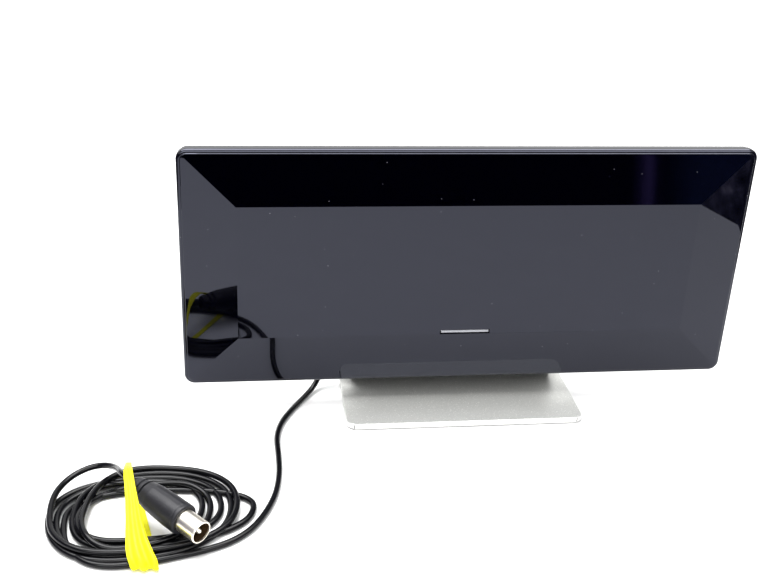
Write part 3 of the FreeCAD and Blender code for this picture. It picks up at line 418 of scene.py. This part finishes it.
# outlines as (distance in front of the shell's root, radius), in millimetres
GRIP_OUTLINE = [
    (-29, 1.4), (-29, 3.4), (-28.6, 3.9), (-26, 4.5), (-22, 5.2), (-18, 5.9), (-8, 6.4), (-1.0, 6.5),
    (-0.45, 6.35), (-0.2, 6.0), (-0.2, 4.78), (-2.0, 4.76),
]
BORE_OUTLINE = [(0.55, 4.17), (9.1, 4.17), (9.1, 4.08), (0.55, 4.08)]
RING_STEP = 0.18  # between the grip's rings
AROUND = 72  # corners in each ring of the plug's pieces
RELIEF_PLACES, RELIEF_HALF_WIDTH, RELIEF_DEPTH, RELIEF_EDGE = (-25.4, -22.6), 0.55, 1.5, 0.15
RELIEF_BRIDGE = 0.35  # sine of the angle up to which the moulding bridges its slots
PARTING_FROM, PARTING_TO, PARTING_DEPTH, PARTING_WIDTH = -28.5, -1.0, 0.12, 0.05
PARTING_BELOW = 0.6  # how much of its depth the parting line has underneath
GROOVE_PLACE, GROOVE_HALF_WIDTH, GROOVE_DEPTH = -2.2, 0.16, 0.14


def turned_surface(axis_start, axis, profile, around, depth=None):
    """Rings of an outline (along, radius) about an axis; depth(along, angle) is cut from the radius."""
    side = axis.cross(Vector((0, 0, 1))).normalized()
    up = side.cross(axis)
    corners, faces = [], []
    for along, radius in profile:
        for k in range(around):
            angle = 2 * math.pi * k / around
            r = radius - (depth(along, angle) if depth else 0.0)
            corners.append(axis_start + axis * along + (side * math.cos(angle) + up * math.sin(angle)) * r)
    for ring in range(len(profile) - 1):
        faces += faces_between(ring * around, around)
    return corners, faces


def short_rings(knots, step):
    """The outline's straight stretches, cut into short rings."""
    rings = []
    for (s0, r0), (s1, r1) in zip(knots, knots[1:]):
        parts = max(1, round(abs(s1 - s0) / step))
        rings += [(s0 + (s1 - s0) * i / parts, r0 + (r1 - r0) * i / parts) for i in range(parts)]
    return rings + [knots[-1]]


def grip_cut(along, angle):
    """How deep the relief slots, the parting line and the groove by the mouth cut the grip."""
    s = along / MM
    cut = 0.0
    if abs(math.sin(angle)) > RELIEF_BRIDGE:
        for place in RELIEF_PLACES:
            share = (RELIEF_HALF_WIDTH - abs(s - place)) / RELIEF_EDGE
            cut = max(cut, RELIEF_DEPTH * max(0.0, min(1.0, share)))
    if PARTING_FROM < s < PARTING_TO:
        line = PARTING_DEPTH * math.exp(-((math.cos(angle) / PARTING_WIDTH) ** 2))
        cut += line * (1 if math.sin(angle) > 0 else PARTING_BELOW)
    if abs(s - GROOVE_PLACE) < GROOVE_HALF_WIDTH:
        cut += GROOVE_DEPTH
    return cut * MM


def make_plug_body():
    """Moulded grip: a fat barrel with a rolled front edge, a parting line and slotted relief."""
    profile = [(s * MM, r * MM) for s, r in short_rings(GRIP_OUTLINE, RING_STEP)]
    corners, faces = turned_surface(PLUG_ROOT, PLUG_NOSE, profile, AROUND, grip_cut)
    piece = mesh_piece("plug_grip", corners, faces, "plug_moulding")
    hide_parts("plug_body")
    return piece


def make_plug_bore():
    """Tarnished lining of the shell's bore, set back from its bright rim."""
    profile = [(s * MM, r * MM) for s, r in BORE_OUTLINE]
    corners, faces = turned_surface(PLUG_ROOT, PLUG_NOSE, profile, AROUND)
    return mesh_piece("plug_bore", corners, faces, "plug_insulator", smooth=False)


# ---------------------------------------------------------------- tie band

BAND_THICK, BAND_FLOOR = 0.45, 0.06  # millimetres
BAND_STEPS, BAND_ACROSS = 6, 29  # steps from one station to the next, and points across
BAND_MIDDLE_Y, BAND_MIDDLE_Z = -98, 5  # inside the loop
FOLDS, FOLD_PHASE = 2.1, 0.9  # waves across the band, and where they start
LEAN, LEAN_ACROSS, LEAN_ALONG = 0.3, 6, 0.12  # a second wave that slants along the band
RAGGED, RAGGED_ALONG, RAGGED_ACROSS = 0.25, 0.4, 2  # how far and how finely its edges wander
EDGE_THINNING, EDGE_POWER = 0.7, 6
# stations in millimetres, over the turns, down the near side and back underneath:
# (middle x, y, z, half width, depth of the folds)
BAND_LOOP = [
    (-157.7, -62.9, 2.5, 1.3, 0.0), (-157.6, -63.4, 4.6, 1.3, 0.0), (-157.2, -66.5, 6.2, 1.4, 0.0),
    (-156.4, -73.0, 10.2, 1.4, 0.05), (-155.4, -82.0, 15.8, 1.5, 0.08), (-154.4, -91.0, 20.2, 1.7, 0.1),
    (-153.5, -98.0, 20.9, 2.0, 0.15), (-152.7, -102.5, 19.8, 2.1, 0.2), (-151.7, -108.0, 17.2, 2.5, 0.3),
    (-150.4, -116.0, 13.0, 3.2, 0.4), (-149.0, -123.0, 9.4, 4.2, 0.5), (-147.6, -128.0, 7.0, 5.1, 0.6),
    (-146.2, -131.2, 5.0, 5.4, 0.7), (-145.4, -132.2, 2.6, 5.3, 0.7), (-144.9, -130.8, 0.6, 4.6, 0.3),
    (-144.4, -124.0, 0.3, 3.0, 0.1), (-144.8, -117.0, 0.3, 1.9, 0.0), (-146.6, -108.0, 0.3, 1.6, 0.0),
    (-149.0, -97.0, 0.3, 1.5, 0.0), (-151.6, -86.0, 0.3, 1.5, 0.0), (-155.6, -72.0, 0.3, 1.4, 0.0),
    (-157.4, -64.5, 0.3, 1.3, 0.0), (-157.7, -63.0, 1.0, 1.3, 0.0),
]


def closed_curve(stations, parts):
    """A smooth closed run through the stations, each a tuple of numbers."""
    count = len(stations)
    run = []
    for i in range(count):
        before, start, end, after = (stations[(i + k) % count] for k in (-1, 0, 1, 2))
        for step in range(parts):
            t = step / parts
            run.append([
                0.5 * (
                    2 * b + (c - a) * t + (2 * a - 5 * b + 4 * c - d) * t ** 2
                    + (3 * b - a - 3 * c + d) * t ** 3
                )
                for a, b, c, d in zip(before, start, end, after)
            ])
    return run


def band_section(x, y, z, half, pleat, out):
    """Points across the band at one place: its outer skin, then its inner one."""
    section = []
    for side in (1, -1):
        for k in range(BAND_ACROSS):
            v = 2 * k / (BAND_ACROSS - 1) - 1
            lean = LEAN * math.sin(v * LEAN_ACROSS + y * LEAN_ALONG)
            fold = pleat * (math.cos(v * math.pi * FOLDS + FOLD_PHASE) + lean)
            spot = Vector((y * RAGGED_ALONG, z * RAGGED_ALONG, v * RAGGED_ACROSS))
            ragged = RAGGED * pleat * noise.noise(spot)
            skin = BAND_THICK / 2 * side * (1 - EDGE_THINNING * abs(v) ** EDGE_POWER)
            place = Vector((x + v * (half + ragged), y, z)) + out * (fold + skin)
            place.z = max(place.z, BAND_FLOOR)
            section.append(place * MM)
    return section


def make_band():
    """Rubber band: a thin closed loop whose folds deepen where it is bunched up."""
    run = closed_curve(BAND_LOOP, BAND_STEPS)
    corners, faces = [], []
    count = len(run)
    for i, (x, y, z, half, pleat) in enumerate(run):
        before, after = run[i - 1], run[(i + 1) % count]
        along = Vector((0, after[1] - before[1], after[2] - before[2])).normalized()
        out = Vector((1, 0, 0)).cross(along)
        if out.dot(Vector((0, y - BAND_MIDDLE_Y, z - BAND_MIDDLE_Z))) < 0:
            out = -out
        corners += band_section(x, y, z, half, pleat, out)
    edge, ring = BAND_ACROSS, 2 * BAND_ACROSS
    for i in range(count):
        here, there = i * ring, (i + 1) % count * ring
        inner_here, inner_there = here + edge, there + edge
        for k in range(edge - 1):
            faces.append((here + k, here + k + 1, there + k + 1, there + k))
            faces.append((inner_there + k, inner_there + k + 1, inner_here + k + 1, inner_here + k))
        faces.append((there, inner_there, inner_here, here))
        faces.append((inner_here - 1, here + ring - 1, there + ring - 1, inner_there - 1))
    band = mesh_piece("band", corners, faces, "band_rubber")
    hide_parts("tie_band")
    return band


# ---------------------------------------------------------------- front shell

panel_low, panel_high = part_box("front_cover")
PANEL_MIDDLE = Vector(((panel_low[0] + panel_high[0]) / 2, 0, (panel_low[2] + panel_high[2]) / 2))
HALF_WIDTH = (panel_high[0] - panel_low[0]) / 2
HALF_HEIGHT = (panel_high[2] - panel_low[2]) / 2
SHELL_BACK = panel_high[1]
FACET_RISE = 3.4 * MM
SHELL_FRONT = panel_low[1] + FACET_RISE  # the plane of the border
CORNER_RADIUS, CORNER_PARTS = 5.0 * MM, 18
BORDER_RADIUS, BORDER_PARTS = 1.6 * MM, 20
FACET_FOOT, FACET_INSET = 2.2 * MM, 26.0 * MM
STEP_RISE, STEP_PARTS = 0.5 * MM, 5  # rounded step from the border up to the facets
BACK_LIP = 1.6 * MM  # how far the shell turns in at its back
CORNER_BLEND = 0.8  # share of the corner radius at which the facets get a ring of their own
SLOT_HALF_WIDTH, SLOT_HALF_HEIGHT, SLOT_DROP = 12.2 * MM, 1.0 * MM, 31.9 * MM
SLOT_DEPTH, SLOT_EDGE, SLOT_CORNER = 2.4 * MM, 0.15 * MM, 0.4 * MM
BAR_HALF_WIDTH, BAR_HALF_HEIGHT, BAR_DROP = 11.8 * MM, 0.68 * MM, 31.75 * MM
BAR_SUNK, BAR_EDGE, BAR_CORNER = 0.35 * MM, 0.15 * MM, 0.35 * MM
SLOT_PARTS = 4  # steps round each corner of the slot and the bar
SHARP_ANGLE = math.radians(5.6)
WELD_DISTANCE = 1e-6


def shell_corner(across, up, out):
    return Vector((PANEL_MIDDLE.x + across, SHELL_FRONT - out, PANEL_MIDDLE.z + up))


def rounded_outline(half_x, half_y, radius, parts):
    """Points round a rectangle with round corners, anticlockwise from its right side's upper end."""
    outline = []
    for quarter, (sx, sy) in enumerate([(1, 1), (-1, 1), (-1, -1), (1, -1)]):
        for step in range(parts + 1):
            angle = (quarter + step / parts) * math.pi / 2
            outline.append((sx * (half_x - radius) + radius * math.cos(angle),
                            sy * (half_y - radius) + radius * math.sin(angle)))
    return outline


def facet_rise(across, up):
    inset = min(HALF_WIDTH - abs(across), HALF_HEIGHT - abs(up))
    share = (inset - FACET_FOOT) / (FACET_INSET - FACET_FOOT)
    return STEP_RISE + (FACET_RISE - STEP_RISE) * max(0.0, min(1.0, share))


def shell_outline(inset):
    radius = max(CORNER_RADIUS - inset, 0.0)
    return rounded_outline(HALF_WIDTH - inset, HALF_HEIGHT - inset, radius, CORNER_PARTS)


def shell_rings():
    """The shell's outlines, as (across, up, out), from the lip at its back to its raised middle."""
    depth = SHELL_BACK - SHELL_FRONT
    sides = [(BACK_LIP, depth), (0.0, depth)]
    for step in range(BORDER_PARTS + 1):
        angle = step / BORDER_PARTS * math.pi / 2
        sides.append((BORDER_RADIUS * (1 - math.cos(angle)), BORDER_RADIUS * (1 - math.sin(angle))))
    rings = [[(x, y, -drop) for x, y in shell_outline(inset)] for inset, drop in sides]
    for step in range(STEP_PARTS + 1):
        angle = step / STEP_PARTS * math.pi / 2
        outline = shell_outline(FACET_FOOT - STEP_RISE * math.cos(angle))
        rings.append([(x, y, STEP_RISE * math.sin(angle)) for x, y in outline])
    for inset in (CORNER_RADIUS * CORNER_BLEND, CORNER_RADIUS, FACET_INSET):
        rings.append([(x, y, facet_rise(x, y)) for x, y in shell_outline(inset)])
    return rings


def slot_rings():
    """The slot's outlines, from its rounded mouth to its floor."""
    rings = []
    mouth, floor = FACET_RISE - SLOT_EDGE, FACET_RISE - SLOT_DEPTH
    for grow, out in ((SLOT_EDGE, FACET_RISE), (0.0, mouth), (0.0, floor)):
        outline = rounded_outline(
            SLOT_HALF_WIDTH + grow, SLOT_HALF_HEIGHT + grow, SLOT_CORNER + grow, SLOT_PARTS)
        rings.append([(x, y - SLOT_DROP, out) for x, y in outline])
    return rings


def wall_of(shape, rings):
    """Adds a wall that joins each ring to the next, and returns the rings' corners."""
    made = [[shape.verts.new(shell_corner(*p)) for p in ring] for ring in rings]
    for low, high in zip(made, made[1:]):
        for k in range(len(low)):
            n = (k + 1) % len(low)
            shape.faces.new((low[k], low[n], high[n], high[k]))
    return made


def make_front_shell():
    """Gloss shell: a rolled border, four mitred facets, a flat middle and the indicator's slot."""
    shape = bmesh.new()
    crown = wall_of(shape, shell_rings())[-1]
    mouth = wall_of(shape, slot_rings())[0]
    per_mouth, per_crown = len(mouth) // 4, len(crown) // 4
    for quarter in range(4):
        start, end = quarter * per_mouth, (quarter + 1) * per_mouth
        inner = [mouth[k % len(mouth)] for k in range(start, end + 1)]
        corner = crown[quarter * per_crown]
        following = crown[(quarter + 1) * per_crown % len(crown)]
        shape.faces.new([corner, following] + inner[::-1])
    bmesh.ops.remove_doubles(shape, verts=shape.verts, dist=WELD_DISTANCE)
    bmesh.ops.recalc_face_normals(shape, faces=shape.faces)
    mesh = bpy.data.meshes.new("front_shell")
    shape.to_mesh(mesh)
    shape.free()
    mesh.validate()
    for face in mesh.polygons:
        face.use_smooth = True
    mesh.set_sharp_from_angle(angle=SHARP_ANGLE)
    piece = new_piece("front_shell", mesh, "gloss_shell", "panel")
    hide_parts("front_cover")


def make_indicator():
    """Bar in the slot, with a dark gap round it that is widest below."""
    corners, faces = [], []
    for inset, sunk in ((0.0, SLOT_DEPTH), (0.0, BAR_SUNK + BAR_EDGE), (BAR_EDGE, BAR_SUNK)):
        outline = rounded_outline(
            BAR_HALF_WIDTH - inset, BAR_HALF_HEIGHT - inset, BAR_CORNER, SLOT_PARTS)
        corners += [shell_corner(x, y - BAR_DROP, FACET_RISE - sunk) for x, y in outline]
    count = len(outline)
    for first in range(0, len(corners) - count, count):
        faces += faces_between(first, count)
    faces.append(tuple(range(len(corners) - count, len(corners))))
    bar = mesh_piece("indicator", corners, faces, "clear_guide", "panel", smooth=False)
    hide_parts("light_guide")


# ---------------------------------------------------------------- stand's front edge

# millimetres
LIP_LOW, LIP_HIGH, LIP_PROUD, LIP_ROUND, LIP_DEPTH = 0.7, 2.95, 0.25, 0.35, 0.4
PLATE_CORNER = 5.0
ROUND_PARTS = 6  # steps round the lip's rounded edges
# degrees round each front corner
CORNER_STEP = 10
LIP_JOINT_ANGLE, LIP_JOINT_WIDTH = 17.5, 4.0
SLIT_SHADE_PROUD = 0.02  # how far the black pieces of painted slit shade stand out of the lip


def plate_edge(angles, side):
    """Points of a front corner's arc and their outward directions; 0 degrees faces the front."""
    half_x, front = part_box("stand_skin")[1][0] / MM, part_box("stand_skin")[0][1] / MM
    run = []
    for angle in angles:
        out = Vector((side * math.sin(math.radians(angle)), -math.cos(math.radians(angle)), 0))
        centre = Vector((side * (half_x - PLATE_CORNER), front + PLATE_CORNER, 0))
        run.append((centre + out * PLATE_CORNER, out))
    return run


def edge_strip(name, runs, slot, proud):
    """Strips with rounded outer edges that follow runs of (point, outward direction) in millimetres."""
    section = []
    for centre_z, turn in ((LIP_LOW + LIP_ROUND, -1), (LIP_HIGH - LIP_ROUND, 0)):
        for step in range(ROUND_PARTS + 1):
            angle = (turn + step / ROUND_PARTS) * math.pi / 2
            reach = proud - LIP_ROUND + LIP_ROUND * math.cos(angle)
            section.append((reach, centre_z + LIP_ROUND * math.sin(angle)))
    section += [(-LIP_DEPTH, LIP_HIGH), (-LIP_DEPTH, LIP_LOW)]
    count = len(section)
    corners, faces = [], []
    for run in runs:
        first, last = len(corners), len(corners) + (len(run) - 1) * count
        for place, out in run:
            corners += [(place + out * reach + Vector((0, 0, z))) * MM for reach, z in section]
        faces += [tuple(range(first, first + count))[::-1], tuple(range(last, last + count))]
        for ring in range(first, last, count):
            faces += faces_between(ring, count)
    return mesh_piece(name, corners, faces, slot, smooth=False)


def make_stand_lip():
    """Bright strip along the plate's front edge and corners, with a thin black piece of painted shade in
    the slit at each end.
    """
    sweep = range(0, 91, CORNER_STEP)
    front_run = plate_edge(reversed(sweep), -1) + plate_edge(sweep, 1)
    lip = edge_strip("stand_lip", [front_run], "bright_silver", LIP_PROUD)
    ends = (LIP_JOINT_ANGLE, LIP_JOINT_ANGLE + LIP_JOINT_WIDTH)
    slit_shade_runs = [plate_edge(ends, 1), plate_edge(ends[::-1], -1)]
    # black pieces of painted shade in the slits at the lip's ends
    edge_strip("lip_slit_shades", slit_shade_runs, "foot_rubber", LIP_PROUD + SLIT_SHADE_PROUD)


# ---------------------------------------------------------------- studio

FLOOR_SIZE = 8.0
WORLD_GLOW = 1.4
# dark cards that only reflections see: where each starts and ends on the floor, and their height
FLAGS = {
    "front": ((-1.2, -0.62), (1.2, -0.62)),
    "right": ((0.306, -0.33), (0.306, 0.05)),
    "left": ((-0.42, -0.35), (-0.42, 0.3)),
}
FLAG_HEIGHT = 0.24
# glowing cards that only reflections see: their corners and glow
SOFTBOXES = {
    "softbox_above": ([(-0.9, -0.25, 1.1), (0.7, -0.25, 1.1), (0.7, 0.45, 1.1), (-0.9, 0.45, 1.1)], 10.0),
    "softbox_front": ([(-1.0, -1.1, 0.5), (1.0, -1.1, 0.5), (1.0, -1.1, 1.3), (-1.0, -1.1, 1.3)], 5.0),
}
# where along the front card its colour changes, as a share of its length, and the colour there: black, a
# narrow navy stripe of painted light on a fold, then dimmer navy
FLAG_FOLD_PAINTED_LIGHT = [
    (0.0, (0.0, 0.0, 0.0)), (0.628, (0.0, 0.0, 0.001)), (0.631, (0.11, 0.08, 0.24)),
    (0.634, (0.11, 0.08, 0.24)), (0.637, (0.0, 0.0, 0.002)), (0.642, (0.002, 0.004, 0.012)),
    (0.655, (0.02, 0.03, 0.08)), (1.0, (0.03, 0.022, 0.06)),
]
# painted light and shade of the side cards' crumpled cloth, from its dark hollows to its bright crests
FLAG_CRUMPLE_LIGHT_AND_SHADE = [
    (0.35, (0.01, 0.01, 0.015)), (0.55, (0.07, 0.07, 0.11)), (0.62, (0.16, 0.15, 0.22)),
    (0.75, (0.6, 0.6, 0.6)),
]
CRUMPLE_SCALE = 55.0


def sheet_mesh(name, corners, material):
    mesh = bpy.data.meshes.new(name)
    mesh.from_pydata(corners, [], [(0, 1, 2, 3)])
    mesh.update()
    thing = bpy.data.objects.new(name, mesh)
    bpy.context.scene.collection.objects.link(thing)
    mesh.materials.append(material)
    return thing


def hide_from_all_but_reflections(thing):
    thing.visible_camera = False
    thing.visible_diffuse = False
    thing.visible_shadow = False
    thing.visible_transmission = False


def flag_cloth(name):
    """Black cloth: the front card has a navy stripe of painted light on a fold and turns dim navy past it,
    and the side cards have painted light and shade of crumples.
    """
    material, tree, shader, place = shader_of("flag_" + name)
    if name == "front":
        axes = tree.nodes.new("ShaderNodeSeparateXYZ")
        tree.links.new(place, axes.inputs["Vector"])
        start, end = FLAGS[name]
        along = range_of(tree, axes.outputs["X"], 0.0, 1.0, start[0], end[0])
        # painted light on a fold of the front card
        colour = ramp_of(tree, along, FLAG_FOLD_PAINTED_LIGHT)
    else:
        # painted light and shade of crumples on the side cards
        colour = ramp_of(tree, noise_of(tree, place, CRUMPLE_SCALE, 8.0), FLAG_CRUMPLE_LIGHT_AND_SHADE)
    tree.links.new(colour, shader.inputs["Base Color"])
    shader.inputs["Roughness"].default_value = 0.95
    shader.inputs["Specular IOR Level"].default_value = 0.0
    return material


def area_light(name, place, target, width, depth, power):
    data = bpy.data.lights.new(name, "AREA")
    data.shape = "RECTANGLE"
    data.size, data.size_y, data.energy = width, depth, power
    light = bpy.data.objects.new(name, data)
    bpy.context.scene.collection.objects.link(light)
    light.location = place
    light.rotation_mode = "QUATERNION"
    light.rotation_quaternion = (Vector(target) - Vector(place)).to_track_quat("-Z", "Y")


def make_studio():
    floor = grained("floor", (0.86, 0.86, 0.86), 0.8, grain=40, spread=0.01)
    half = FLOOR_SIZE / 2
    sheet_mesh("floor", [(-half, -half, 0), (half, -half, 0), (half, half, 0), (-half, half, 0)], floor)
    for name, (start, end) in FLAGS.items():
        flag = sheet_mesh("flag_" + name, [
            (*start, 0), (*end, 0), (*end, FLAG_HEIGHT), (*start, FLAG_HEIGHT),
        ], flag_cloth(name))
        hide_from_all_but_reflections(flag)
    for name, (corners, glow) in SOFTBOXES.items():
        glowing = dict(Emission_Color=(1, 1, 1, 1), Emission_Strength=glow)
        soft = grained(name, (0.8, 0.8, 0.8), 0.9, **glowing)
        hide_from_all_but_reflections(sheet_mesh(name, corners, soft))
    area_light(
        "overhead", place=(-0.25, 0.1, 1.15), target=(-0.05, 0.0, 0.0), width=0.9, depth=0.5, power=20)
    world = bpy.data.worlds.new("world")
    world.use_nodes = True
    background = world.node_tree.nodes["Background"]
    background.inputs["Color"].default_value = (1, 1, 1, 1)
    background.inputs["Strength"].default_value = WORLD_GLOW
    bpy.context.scene.world = world
    bpy.context.scene.view_settings.view_transform = "Standard"


# ---------------------------------------------------------------- build

make_camera()
lead = make_lead()
plug_grip = make_plug_body()
plug_bore = make_plug_bore()
band = make_band()
make_front_shell()
make_indicator()
make_stand_lip()
dress_nodes()
make_studio()
